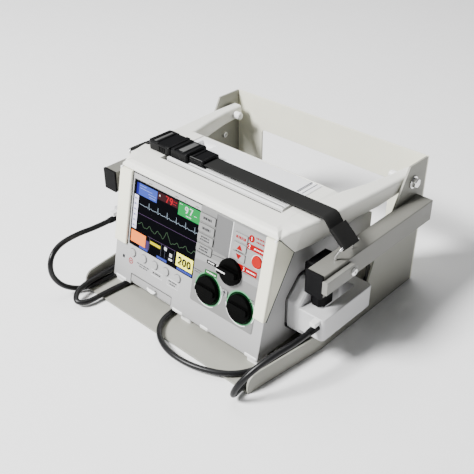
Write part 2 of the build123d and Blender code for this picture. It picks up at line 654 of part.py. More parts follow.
def buckle_male():
    bridge = block((-84.0, -55.0), (STRAP_Y - 18, STRAP_Y + 18), BUCKLE_Z)
    bridge = fillet(bridge.edges().filter_by(Axis.Z), 3)
    bridge = fillet(bridge.edges().group_by(Axis.Z)[-1], 1.6)
    centre = block((-106, -83), (STRAP_Y - 2.5, STRAP_Y + 2.5), (174.2, 178.5))
    body = bridge + centre
    for side in (-1, 1):
        body += block((-103, -83), (STRAP_Y + side * 12 - 1.8, STRAP_Y + side * 12 + 1.8),
                      (174.0, 178.6))
        body += block((-103, -93), (STRAP_Y + side * 15 - 2.6, STRAP_Y + side * 15 + 2.6),
                      (174.0, 178.6))
    return body


def strap_adjuster():
    frame = block((-55.0, -31.0), (STRAP_Y - 14.5, STRAP_Y + 14.5), (173.4, 179.6))
    frame = fillet(frame.edges().filter_by(Axis.Z), 2)
    return frame - block((-37, -30), (STRAP_Y - 12.7, STRAP_Y + 12.7), (174.8, 177.2))


def strap_hook(leg_x, eye_place):
    """Bent wire loop through the bar's top wall, which the strap's end hangs on."""
    x, z = eye_place
    under = BAR_Z + BAR_H - BAR_WALL - 2.4
    near, far = HOOK_LEGS_Y
    path = FilletPolyline((leg_x, near, under), (leg_x, near, BAR_Z + BAR_H + 5), (x, near, z),
                          (x, far, z), (leg_x, far, BAR_Z + BAR_H + 5), (leg_x, far, under),
                          radius=2.4)
    wire = sweep(Plane(origin=(leg_x, near, under), z_dir=(0, 0, 1)) * Circle(HOOK_WIRE / 2),
                 path=path)
    for y in HOOK_LEGS_Y:
        wire += cylinder_z(3.0, under - 1.6, under + 1.6, leg_x, y)
    return wire


# ---------------------------------------------------------------- paddle leads
LEAD_RIGHT = [
    (169.3, 66, 60.6), (169.3, 45, 60.6), (163.0, 20, 57.5), (152.5, -6, 44.5),
    (143.5, -21.5, 25.5), (137.8, -21.0, 8.4), (134.2, -3, 6.4), (136.3, 22, 6.4),
    (139.5, 56, 6.4), (144.6, 100, 6.4), (145.3, 150, 6.4), (144.6, 200, 6.4), (143.4, 236, 7.0),
    (130.0, 262, 11), (107.0, 271, 19), (90.0, 268.6, 26.5), (74.0, 268.6, 26.5)]
LEAD_LEFT = [
    (-169.3, 66, 60.6), (-169.3, 45, 60.6), (-167.3, 14, 65.5), (-162.5, -18, 67.5),
    (-157.5, -37, 57.5), (-153.5, -42, 38.0), (-150.0, -33, 18.5), (-145.0, -18.5, 7.2),
    (-135.5, -5.5, 6.4), (-133.0, 14, 6.4), (-131.2, 42, 6.4), (-131.6, 86, 6.4),
    (-133.2, 140, 6.4), (-132.4, 194, 6.4), (-134.2, 240, 6.4), (-126.0, 270, 6.6),
    (-104.0, 285, 8.0), (-84.0, 276, 10.0), (-84.5, 257, 12.6), (-106.0, 251.5, 14.6),
    (-130.0, 251.5, 15.2), (-146.5, 236, 14.0), (-147.2, 200, 8.0), (-147.8, 150, 6.4),
    (-146.4, 104, 6.6), (-140.5, 68, 11.0), (-134.6, 38, 14.4), (-133.8, 16, 14.6),
    (-133.4, -6, 14.2), (-130.5, -24, 10.5), (-119.0, -33.5, 6.8), (-108.8, -24, 6.4),
    (-108.2, -2, 6.4), (-106.8, 22, 6.4), (-104.5, 44, 6.4), (-92.0, 66, 6.4), (-62.0, 77, 6.4),
    (-31.0, 66, 6.4), (-17.5, 42, 6.4), (-15.5, 18, 6.4), (1.0, -4, 6.4), (29.0, -16.5, 6.4),
    (61.0, -17.0, 6.4), (88.0, -9.0, 6.4), (110.0, 3, 6.4), (124.0, 21, 6.4), (130.0, 46, 6.4),
    (131.4, 84, 6.4), (133.2, 136, 6.4), (132.4, 188, 7.0), (133.4, 228, 12.0), (124.0, 251, 24.0),
    (106.0, 257, 34.5), (90.0, 255.4, 38.0), (74.0, 255.4, 38.0)]


def lead_connector():
    """Plug on the device's rear that both paddle leads run into."""
    plug = block((44.0, 68.0), (BODY_REAR, BODY_REAR + 34), (17.0, 48.0))
    plug = fillet(plug.edges().filter_by(Axis.Y), 4)
    tongue = block((SOCKET_X[0] + 0.4, SOCKET_X[1] - 0.4), (BODY_REAR - WALL + 0.2, BODY_REAR + 1),
                   (26.4, 39.6))
    for y, z in ((LEAD_RIGHT[-1][1:]), (LEAD_LEFT[-1][1:])):
        plug += cylinder_x(5.0, 67.0, 74.0, y, z)
    return plug + tongue


# ---------------------------------------------------------------- write the nodes
def main():
    save("cradle_tray", cradle_tray())
    save("cradle_back_plate", cradle_back_plate())
    save("side_bar_right", side_bar(True, HOOK_X))
    save("side_bar_left", mirrored(side_bar(False, LEFT_HOOK_X)))
    front_cap = end_cap()
    rear_cap = bar_plug(BAR_Y[1] - 9.0, BAR_Y[1] - 0.4)
    save("bar_end_caps", front_cap, rear_cap, mirrored(front_cap), mirrored(rear_cap))
    save("bar_guard_plate", guard_plate())
    screws = []
    for y, z in BAR_SCREWS:
        screw = Pos(TRAY_HALF - SHEET, y, z) * button_screw(7.5)
        screws += [screw, mirrored(screw)]
    y, z = GUARD_SCREW
    screws.append(Pos(BAR_X[1] + GUARD_T, y, z) * Rot(0, 180, 0) * button_screw(11.0))
    save("bar_screws", *screws)
    save("handle_bolts", handle_bolt(), mirrored(handle_bolt()))
    save("handle_cap_nuts", handle_cap_nut(), mirrored(handle_cap_nut()))
    save("retainer_right", retainer())
    save("retainer_left", mirrored(retainer()))

    save("housing_shell", housing_shell())
    save("top_frame_handle", top_frame_handle())
    left, right = columns()
    save("column_left", left)
    save("column_right", right)
    save("control_panel", control_panel())
    save("display_glass", display_glass())
    save("display_module", display_module())
    for number, (u, v) in enumerate(SOFT_KEYS, 1):
        save(f"soft_key_{number}", round_key(u, v, 5.0, 1.8))
    for number, (u, v) in enumerate(SIDE_KEYS, 1):
        save(f"side_key_{number}", square_key(u, v, 24.0, 9.6, 1.6))
    save("key_charge", square_key(*CHARGE_KEY, 18.0, 9.0, 1.6))
    save("key_energy_up", square_key(*ARROW_KEYS[0], 18.0, 9.0, 1.6))
    save("key_energy_down", square_key(*ARROW_KEYS[1], 18.0, 9.0, 1.6))
    save("key_shock", round_key(*SHOCK_KEY, 7.0, 2.2))
    save("key_help", square_key(*HELP_KEY, 9.0, 8.0, 1.6))
    for name, (u, v, radius, proud) in KNOBS.items():
        save(name, knob(u, v, radius, proud))
    save("rotary_switches", *[rotary_switch(u, v) for u, v, _, _ in KNOBS.values()])
    save("card_door", card_door())
    save("recorder_cover", recorder_cover())
    save("battery_pack", battery_pack())
    save("front_board", front_board())
    save("main_chassis", main_chassis())
    save("hv_capacitor", hv_capacitor())
    save("device_feet", *device_feet())
    save("foot_screws", *foot_screws())

    save("paddle_right", paddle())
    save("paddle_left", mirrored(paddle()))
    save("paddle_electrodes", paddle_electrode(), mirrored(paddle_electrode()))
    save("paddle_button_right", paddle_button())
    save("paddle_button_left", mirrored(paddle_button()))
    save("paddle_glands", paddle_gland(), mirrored(paddle_gland()))
    save("well_gaskets", well_gasket(), mirrored(well_gasket()))

    save("strap_right", strap_right())
    save("strap_left", strap_left())
    save("buckle_female", buckle_female())
    save("buckle_male", buckle_male())
    save("strap_adjuster", strap_adjuster())
    save("strap_hooks", strap_hook(HOOK_X, HOOK_EYE),
         mirrored(strap_hook(LEFT_HOOK_X, LEFT_HOOK_EYE)))

    save("lead_right", cord_tube(LEAD_RIGHT, "lead_right"))
    save("lead_left", cord_tube(LEAD_LEFT, "lead_left"))
    save("lead_connector", lead_connector())


main()
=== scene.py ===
"""Studio picture of the defibrillator in its cradle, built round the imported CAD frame."""
import json
import math

import bmesh
import bpy
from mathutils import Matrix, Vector


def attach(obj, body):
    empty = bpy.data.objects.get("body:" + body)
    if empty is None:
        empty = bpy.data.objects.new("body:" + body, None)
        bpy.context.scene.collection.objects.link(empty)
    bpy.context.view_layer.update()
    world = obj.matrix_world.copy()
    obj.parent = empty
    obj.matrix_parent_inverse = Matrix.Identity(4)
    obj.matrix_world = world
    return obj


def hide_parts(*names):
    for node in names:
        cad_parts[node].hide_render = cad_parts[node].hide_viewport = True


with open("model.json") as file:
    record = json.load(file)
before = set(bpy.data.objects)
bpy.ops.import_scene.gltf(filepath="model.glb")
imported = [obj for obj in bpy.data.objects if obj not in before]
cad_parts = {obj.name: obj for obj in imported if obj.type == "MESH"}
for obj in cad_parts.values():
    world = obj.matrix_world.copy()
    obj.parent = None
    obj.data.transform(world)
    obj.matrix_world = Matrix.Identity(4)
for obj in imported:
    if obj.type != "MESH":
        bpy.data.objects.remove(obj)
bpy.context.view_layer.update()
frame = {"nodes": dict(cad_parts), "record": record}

MM = 0.001
SHIFT = Vector((-4.75, -153.25, 0.0))      # the part's own origin, as in part.py
LEAN = math.radians(11.9)
FRONT = (34.4, 16.6)                       # bottom edge of the sloping front: y, z

# Places on the sloping front, as in part.py: across, up the slope
SOFT_KEY_U, SOFT_KEY_V = (-92.5, -72.0, -51.5, -31.5, -11.0), 41.0
SIDE_KEY_V = (133.0, 120.5, 108.0, 95.5)
SHOCK_KEY = (102.5, 112.5)
SELECTOR = (69.0, 86.5)
LOWER_KNOBS = ((39.0, 49.5), (89.5, 49.5))


def at(x, y, z):
    """A point of the drawing, millimetres, as metres in the row frame."""
    return (Vector((x, y, z)) + SHIFT) * MM


def front(u, v, h=0.0):
    """A point on the sloping front panel: across, up the slope, out from it."""
    return at(u, FRONT[0] + v * math.sin(LEAN) - h * math.cos(LEAN),
              FRONT[1] + v * math.cos(LEAN) + h * math.sin(LEAN))


# ---------------------------------------------------------------- materials
ROUGH_SPREAD = 0.07                        # how far roughness wanders either way
GLOW_BASE = (0.12, 0.15)                   # a glowing mark's own colour against its light
PART_CREASE = 32                           # sharpest edge in degrees that is shaded smooth


def new_material(name):
    """A node material, its tree and its shader."""
    material = bpy.data.materials.new(name)
    material.use_nodes = True
    tree = material.node_tree
    return material, tree, tree.nodes["Principled BSDF"]


def add(tree, kind, **values):
    """A node with its properties and input values set."""
    node = tree.nodes.new(kind)
    for key, value in values.items():
        if hasattr(node, key):
            setattr(node, key, value)
        else:
            node.inputs[key.replace("_", " ")].default_value = value
    return node


def colour_mix(tree, factor, first, second):
    """Mix two colours by a factor socket and return the colour socket."""
    node = tree.nodes.new("ShaderNodeMix")
    node.data_type = "RGBA"
    node.inputs[6].default_value = first
    node.inputs[7].default_value = second
    tree.links.new(factor, node.inputs[0])
    return node.outputs[2]


def surface(name, color, rough=0.45, grain=900.0, bump=0.15, tone=0.04, metal=0.0, coat=0.0,
            edge=0.0006, depth=0.0001, patch=30.0, gloss=0.5):
    """Moulded, painted or metal surface: fine grain, soft edges and slight tone changes."""
    material, tree, shader = new_material(name)
    link = tree.links.new
    place = add(tree, "ShaderNodeTexCoord")
    fine = add(tree, "ShaderNodeTexNoise", Scale=grain, Detail=3.0, Roughness=0.6)
    broad = add(tree, "ShaderNodeTexNoise", Scale=patch, Detail=3.0, Roughness=0.5)
    link(place.outputs["Object"], fine.inputs["Vector"])
    link(place.outputs["Object"], broad.inputs["Vector"])
    darker = [c * (1 - 2 * tone) for c in color] + [1]
    lighter = [min(1, c * (1 + tone)) for c in color] + [1]
    tones = colour_mix(tree, broad.outputs["Fac"], darker, lighter)
    link(tones, shader.inputs["Base Color"])
    spread = add(tree, "ShaderNodeMapRange")
    spread.inputs["To Min"].default_value = max(0.03, rough - ROUGH_SPREAD)
    spread.inputs["To Max"].default_value = min(1.0, rough + ROUGH_SPREAD)
    link(broad.outputs["Fac"], spread.inputs["Value"])
    link(spread.outputs["Result"], shader.inputs["Roughness"])
    relief = add(tree, "ShaderNodeBump", Strength=bump, Distance=depth)
    link(fine.outputs["Fac"], relief.inputs["Height"])
    if edge:
        rounding = add(tree, "ShaderNodeBevel", samples=6)
        rounding.inputs["Radius"].default_value = edge
        link(rounding.outputs["Normal"], relief.inputs["Normal"])
    link(relief.outputs["Normal"], shader.inputs["Normal"])
    shader.inputs["Metallic"].default_value = metal
    shader.inputs["Specular IOR Level"].default_value = gloss
    shader.inputs["Coat Weight"].default_value = coat
    shader.inputs["Coat Roughness"].default_value = 0.12
    return material


def lit(name, color, strength=1.0, rough=0.3, gloss=0.06):
    """A printed or glowing mark with an even colour and a faint grain."""
    material, tree, shader = new_material(name)
    link = tree.links.new
    place = add(tree, "ShaderNodeTexCoord")
    noise = add(tree, "ShaderNodeTexNoise", Scale=400.0, Detail=2.0)
    link(place.outputs["Object"], noise.inputs["Vector"])
    tones = colour_mix(tree, noise.outputs["Fac"], [c * 0.96 for c in color] + [1],
                       list(color) + [1])
    if strength:
        dim = colour_mix(tree, noise.outputs["Fac"], *[[c * base for c in color] + [1]
                                                       for base in GLOW_BASE])
        link(dim, shader.inputs["Base Color"])
        link(tones, shader.inputs["Emission Color"])
    else:
        link(tones, shader.inputs["Base Color"])
    shader.inputs["Emission Strength"].default_value = strength
    shader.inputs["Roughness"].default_value = rough
    shader.inputs["Specular IOR Level"].default_value = gloss
    return material


MAT = {
    # cradle_paint, back_plate_paint, bar_paint and guard_paint are lit and shaded copies of one
    # cream-grey paint. The back plate is painted lighter as painted light from the front. The
    # cradle, bars and guard are painted darker as painted shade on faces turned away from the key
    # light.
    "cradle_paint": surface("cradle_paint", (0.29, 0.288, 0.25), 0.5, 1400, 0.25, 0.03),
    "back_plate_paint": surface("back_plate_paint", (0.88, 0.87, 0.72), 0.5, 1400, 0.25, 0.03),
    "bar_paint": surface("bar_paint", (0.16, 0.158, 0.14), 0.42, 1400, 0.2, 0.03),
    "guard_paint": surface("guard_paint", (0.20, 0.198, 0.18), 0.42, 1400, 0.2, 0.03),
    "cap_black": surface("cap_black", (0.006, 0.006, 0.0065), 0.5, 1200, 0.2, 0.1,
                         edge=0.001, gloss=0.04),
    "retainer_black": surface("retainer_black", (0.004, 0.004, 0.0045), 0.55, 1200, 0.2, 0.1,
                              edge=0.001, gloss=0.06),
    "zinc": surface("zinc", (0.78, 0.78, 0.77), 0.3, 700, 0.1, 0.05, metal=1.0, edge=0.0004),
    "bolt_steel": surface("bolt_steel", (0.8, 0.8, 0.8), 0.25, 700, 0.1, 0.05, metal=1.0,
                          edge=0.0004),
    "nut_white": surface("nut_white", (0.85, 0.85, 0.84), 0.3, 900, 0.05, 0.02),
    "housing_grey": surface("housing_grey", (0.37, 0.369, 0.368), 0.42, 1600, 0.18, 0.02,
                            edge=0.0015),
    "frame_cream": surface("frame_cream", (0.82, 0.815, 0.755), 0.36, 1600, 0.1, 0.02, coat=0.15,
                           edge=0.002),
    "column_cream": surface("column_cream", (0.82, 0.81, 0.66), 0.38, 1600, 0.1, 0.02, edge=0.001),
    "panel_grey": surface("panel_grey", (0.18, 0.18, 0.176), 0.5, 1800, 0.15, 0.02, edge=0.0003),
    "screen_glass": surface("screen_glass", (0.0006, 0.0007, 0.0014), 0.3, 900, 0.0, 0.05,
                            edge=0.0003, gloss=0.01),
    "screen_lit": surface("screen_lit", (0.01, 0.01, 0.02), 0.3, 900, 0.0, 0.05),
    "key_pale": surface("key_pale", (0.36, 0.36, 0.358), 0.5, 1500, 0.15, 0.02, edge=0.0006),
    "key_grey": surface("key_grey", (0.20, 0.20, 0.197), 0.5, 1500, 0.15, 0.02, edge=0.0005),
    "key_white": surface("key_white", (0.26, 0.26, 0.256), 0.5, 1500, 0.15, 0.02, edge=0.0005),
    "key_red": surface("key_red", (0.36, 0.006, 0.004), 0.35, 1500, 0.05, 0.02, edge=0.0008,
                       gloss=0.1),
    "knob_black": surface("knob_black", (0.0015, 0.0016, 0.0015), 0.38, 1500, 0.15, 0.1,
                          edge=0.0008, gloss=0.02),
    "switch_body": surface("switch_body", (0.05, 0.05, 0.06), 0.5),
    "door_grey": surface("door_grey", (0.33, 0.328, 0.325), 0.42, 1600, 0.18, 0.02, edge=0.0004),
    "recorder_grey": surface("recorder_grey", (0.66, 0.66, 0.65), 0.35, 1600, 0.1, 0.02,
                             edge=0.0005),
    "battery_white": surface("battery_white", (0.82, 0.82, 0.83), 0.4, 1500, 0.12, 0.02),
    "board_green": surface("board_green", (0.02, 0.14, 0.05), 0.4),
    "chassis_metal": surface("chassis_metal", (0.7, 0.7, 0.72), 0.35, metal=1.0),
    "capacitor_case": surface("capacitor_case", (0.5, 0.5, 0.54), 0.35, metal=1.0),
    "foot_white": surface("foot_white", (0.84, 0.84, 0.83), 0.5, 1200, 0.1, 0.03, edge=0.0008),
    "paddle_grey": surface("paddle_grey", (0.56, 0.56, 0.565), 0.36, 1500, 0.12, 0.02,
                           edge=0.0012),
    "electrode_steel": surface("electrode_steel", (0.8, 0.8, 0.8), 0.3, metal=1.0),
    "paddle_button_white": surface("paddle_button_white", (0.85, 0.85, 0.84), 0.3, 900, 0.05, 0.02),
    "gland_black": surface("gland_black", (0.006, 0.006, 0.0065), 0.5, 900, 0.1, 0.1, gloss=0.1),
    "gasket_black": surface("gasket_black", (0.004, 0.004, 0.0045), 0.6, 900, 0.1, 0.1, gloss=0.06),
    "webbing_black": surface("webbing_black", (0.014, 0.014, 0.0135), 0.75, 1500, 0.4, 0.15,
                             gloss=0.15),
    "buckle_black": surface("buckle_black", (0.005, 0.005, 0.0055), 0.35, 1300, 0.15, 0.1,
                            edge=0.0009, gloss=0.12),
    "lead_black": surface("lead_black", (0.008, 0.008, 0.0085), 0.33, 900, 0.08, 0.1, gloss=0.25),
    "connector_black": surface("connector_black", (0.012, 0.012, 0.012), 0.45, edge=0.001,
                               gloss=0.1),
    # finishes of pieces that only this script makes
    "buckle_inset": surface("buckle_inset", (0.085, 0.085, 0.084), 0.45, 1300, 0.15, 0.05,
                            gloss=0.2),
    "tab_white": surface("tab_white", (0.86, 0.86, 0.85), 0.4, 900, 0.05, 0.02),
    # dark strips that stand for the shade inside the battery's grooves: painted shade
    "groove_shade": surface("groove_shade", (0.10, 0.10, 0.13), 0.5, 900, 0.05, 0.05),
    "gap_black": surface("gap_black", (0.015, 0.015, 0.015), 0.6, 900, 0.05, 0.05),
    # lighter copy of recorder_grey: painted highlight on the recorder lid's ribs
    "recorder_rib_highlight": surface("recorder_rib_highlight", (0.82, 0.82, 0.82), 0.28, 1600, 0.08, 0.02),
}

for part in frame["record"]["subparts"]:
    node = frame["nodes"][part["node"]]
    node.data.materials.clear()
    node.data.materials.append(MAT[part["material_slot"]])
    node.data.shade_smooth()
    node.data.set_sharp_from_angle(angle=math.radians(PART_CREASE))

# ---------------------------------------------------------------- paddle leads
LEAD_RIGHT = [
    (169.3, 66, 60.6), (169.3, 45, 60.6), (163.0, 20, 57.5), (152.5, -6, 44.5),
    (143.5, -21.5, 25.5), (137.8, -21.0, 8.4), (134.2, -3, 6.4), (136.3, 22, 6.4),
    (139.5, 56, 6.4), (144.6, 100, 6.4), (145.3, 150, 6.4), (144.6, 200, 6.4), (143.4, 236, 7.0),
    (130.0, 262, 11), (107.0, 271, 19), (90.0, 268.6, 26.5), (74.0, 268.6, 26.5)]
LEAD_LEFT = [
    (-169.3, 66, 60.6), (-169.3, 45, 60.6), (-167.3, 14, 65.5), (-162.5, -18, 67.5),
    (-157.5, -37, 57.5), (-153.5, -42, 38.0), (-150.0, -33, 18.5), (-145.0, -18.5, 7.2),
    (-135.5, -5.5, 6.4), (-133.0, 14, 6.4), (-131.2, 42, 6.4), (-131.6, 86, 6.4),
    (-133.2, 140, 6.4), (-132.4, 194, 6.4), (-134.2, 240, 6.4), (-126.0, 270, 6.6),
    (-104.0, 285, 8.0), (-84.0, 276, 10.0), (-84.5, 257, 12.6), (-106.0, 251.5, 14.6),
    (-130.0, 251.5, 15.2), (-146.5, 236, 14.0), (-147.2, 200, 8.0), (-147.8, 150, 6.4),
    (-146.4, 104, 6.6), (-140.5, 68, 11.0), (-134.6, 38, 14.4), (-133.8, 16, 14.6),
    (-133.4, -6, 14.2), (-130.5, -24, 10.5), (-119.0, -33.5, 6.8), (-108.8, -24, 6.4),
    (-108.2, -2, 6.4), (-106.8, 22, 6.4), (-104.5, 44, 6.4), (-92.0, 66, 6.4), (-62.0, 77, 6.4),
    (-31.0, 66, 6.4), (-17.5, 42, 6.4), (-15.5, 18, 6.4), (1.0, -4, 6.4), (29.0, -16.5, 6.4),
    (61.0, -17.0, 6.4), (88.0, -9.0, 6.4), (110.0, 3, 6.4), (124.0, 21, 6.4), (130.0, 46, 6.4),
    (131.4, 84, 6.4), (133.2, 136, 6.4), (132.4, 188, 7.0), (133.4, 228, 12.0), (124.0, 251, 24.0),
    (106.0, 257, 34.5), (90.0, 255.4, 38.0), (74.0, 255.4, 38.0)]
LEAD_D = 0.007


def lead(name, route):
    """One paddle lead: a round bevelled NURBS spline along its route."""
    curve = bpy.data.curves.new(name, "CURVE")
    curve.dimensions = "3D"
    curve.bevel_depth = LEAD_D / 2
    curve.bevel_resolution = 6
    curve.resolution_u = 10
    curve.use_fill_caps = True
    spline = curve.splines.new("NURBS")
    spline.points.add(len(route) - 1)
    for point, place in zip(spline.points, route):
        point.co = (*at(*place), 1.0)
    spline.order_u = 3
    spline.use_endpoint_u = True
    curve.materials.append(MAT["lead_black"])
    piece = bpy.data.objects.new(name, curve)
    bpy.context.scene.collection.objects.link(piece)
    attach(piece, "chassis")
    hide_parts(name.replace("_cord", ""))


lead("lead_right_cord", LEAD_RIGHT)
lead("lead_left_cord", LEAD_LEFT)

# ---------------------------------------------------------------- marks on the sloping front
# Heights over the housing's sloping face
GLASS_H = -0.6                             # display glass
SHELL_H = 0.0                              # housing
PANEL_H = 0.3                              # control panel
KEY_H = 1.6                                # top of the square keys
SECOND_H = PANEL_H + 0.05                  # second layer of print on the panel

SINK = 0.05                                # how far a mark reaches into what it lies on
INK = 0.12                                 # thickness of a mark that gives no other
PRINT = 0.05                               # thickness of a wide print
KEY_PRINT = 0.06                           # thickness of a key's print
OVER = INK                                 # lift of print that lies on other print
GAP = 0.16                                 # thickness of a drawn gap
DASH_SIZES = (1.7, 0.9, 2.3, 1.3, 1.9)     # bars that stand for words, and what parts them
DASH_SPACES = (0.5, 0.6, 1.0)

# Strokes of the digits in a unit box
DIGITS = {
    "0": [(0.5, 1), (0.14, 0.82), (0.08, 0.5), (0.14, 0.18), (0.5, 0), (0.86, 0.18), (0.92, 0.5),
          (0.86, 0.82), (0.5, 1)],
    "1": [(0.2, 0.8), (0.55, 1), (0.55, 0)],
    "2": [(0.08, 0.75), (0.3, 0.98), (0.7, 0.98), (0.92, 0.72), (0.8, 0.45), (0.08, 0.04),
          (0.95, 0.04)],
    "3": [(0.1, 0.97), (0.9, 0.97), (0.45, 0.58), (0.85, 0.42), (0.9, 0.2), (0.6, 0.02),
          (0.1, 0.1)],
    "7": [(0.05, 0.97), (0.95, 0.97), (0.38, 0)],
    "9": [(0.88, 0.62), (0.5, 0.45), (0.14, 0.62), (0.15, 0.88), (0.5, 1), (0.88, 0.86),
          (0.88, 0.62), (0.8, 0.25), (0.4, 0.0)],
}


class Marks:
    """Thin raised shapes of one material that ride on one body."""

    everything = []

    def __init__(self, name, material, slot, body="chassis", height=PANEL_H, thick=INK):
        self.name, self.material, self.slot, self.body = name, material, slot, body
        self.height, self.thick = height, thick
        self.mesh = bmesh.new()
        Marks.everything.append(self)

    def tube(self, rows, closed):
        """Skin a list of four-point rows: upper left, upper right, lower right, lower left."""
        made = [[self.mesh.verts.new(p) for p in row] for row in rows]
        pairs = list(zip(made, made[1:]))
        if closed:
            pairs.append((made[-1], made[0]))
        for here, there in pairs:
            for i in range(4):
                j = (i + 1) % 4
                self.mesh.faces.new((here[i], here[j], there[j], there[i]))
        if not closed:
            self.mesh.faces.new(made[0])
            self.mesh.faces.new(list(reversed(made[-1])))

    def line(self, points, width, closed=False, lift=0.0):
        """A ribbon of even width along points (u, v)."""
        rows = []
        count = len(points)
        for i, (u, v) in enumerate(points):
            before = points[i - 1] if i or closed else points[i]
            after = points[(i + 1) % count] if i + 1 < count or closed else points[i]
            du, dv = after[0] - before[0], after[1] - before[1]
            size = math.hypot(du, dv) or 1.0
            nu, nv = -dv / size * width / 2, du / size * width / 2
            top, base = self.height + lift + self.thick, self.height + lift - SINK
            rows.append([front(u + nu, v + nv, top), front(u - nu, v - nv, top),
                         front(u - nu, v - nv, base), front(u + nu, v + nv, base)])
        self.tube(rows, closed)

    def box(self, u0, u1, v0, v1, lift=0.0):
        """An upright rectangle."""
        self.line([(u0, (v0 + v1) / 2), (u1, (v0 + v1) / 2)], v1 - v0, lift=lift)

    def ring(self, u, v, inner, outer, start=0.0, end=360.0, lift=0.0):
        """A ring, or part of one from start to end in degrees."""
        closed = end - start >= 360
        steps = max(8, int((end - start) / 6))
        last = steps if closed else steps + 1
        radius = (inner + outer) / 2
        points = []
        for k in range(last):
            angle = math.radians(start + (end - start) * k / steps)
            points.append((u + radius * math.cos(angle), v + radius * math.sin(angle)))
        self.line(points, outer - inner, closed=closed, lift=lift)

    def polygon(self, points, lift=0.0):
        """A flat plate with these corners."""
        top, base = self.height + lift + self.thick, self.height + lift - SINK
        upper = [self.mesh.verts.new(front(u, v, top)) for u, v in points]
        lower = [self.mesh.verts.new(front(u, v, base)) for u, v in points]
        self.mesh.faces.new(upper)
        self.mesh.faces.new(list(reversed(lower)))
        for i in range(len(points)):
            j = (i + 1) % len(points)
            self.mesh.faces.new((upper[i], lower[i], lower[j], upper[j]))

    def disc(self, u, v, radius, lift=0.0):
        turns = [a * math.pi / 14 for a in range(28)]
        self.polygon([(u + radius * math.cos(a), v + radius * math.sin(a)) for a in turns], lift)

    def number(self, text, u, v, width, height, stroke, gap=1.2, lift=0.0):
        """Digits from the lower left corner (u, v)."""
        for k, digit in enumerate(text):
            left = u + k * (width + gap)
            self.line([(left + x * width, v + y * height) for x, y in DIGITS[digit]], stroke,
                      lift=lift)

    def dashes(self, u0, u1, v, tall=0.9, lift=0.0, seed=0):
        """A row of short bars that stands for a printed label."""
        u = u0
        k = seed
        while u < u1 - 0.6:
            size = min(DASH_SIZES[k % len(DASH_SIZES)], u1 - u)
            self.box(u, u + size, v - tall / 2, v + tall / 2, lift)
            u += size + DASH_SPACES[k % len(DASH_SPACES)]
            k += 1

    def build(self):
        """Turn the shapes into one piece."""
        bmesh.ops.recalc_face_normals(self.mesh, faces=self.mesh.faces)
        data = bpy.data.meshes.new(self.name)
        self.mesh.to_mesh(data)
        self.mesh.free()
        data.materials.append(self.material)
        piece = bpy.data.objects.new(self.name, data)
        bpy.context.scene.collection.objects.link(piece)
        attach(piece, self.body)


def glow(name, color, strength=1.4):
    """A colour that the display lights."""
    return lit("glow_" + name, color, strength)


def ink(name, color, rough=0.5):
    """A printed colour."""
    return lit("ink_" + name, color, 0.0, rough)


DISPLAY_RIGHT = 11.2                       # where the traces end, across the front
DISPLAY_OVER = 0.07                        # lift of marks on the display's coloured boxes
BEATS = (-73.2, -57.4, -41.0, -25.2, -9.6, 5.6)
# One beat of the upper trace: across from its peak, up the slope
HEARTBEAT = ((-5.0, 108.4), (-3.8, 109.3), (-2.6, 108.4), (-1.0, 108.0), (0.0, 115.2),
             (0.9, 106.9), (1.6, 108.2), (4.0, 109.6), (5.6, 108.3))


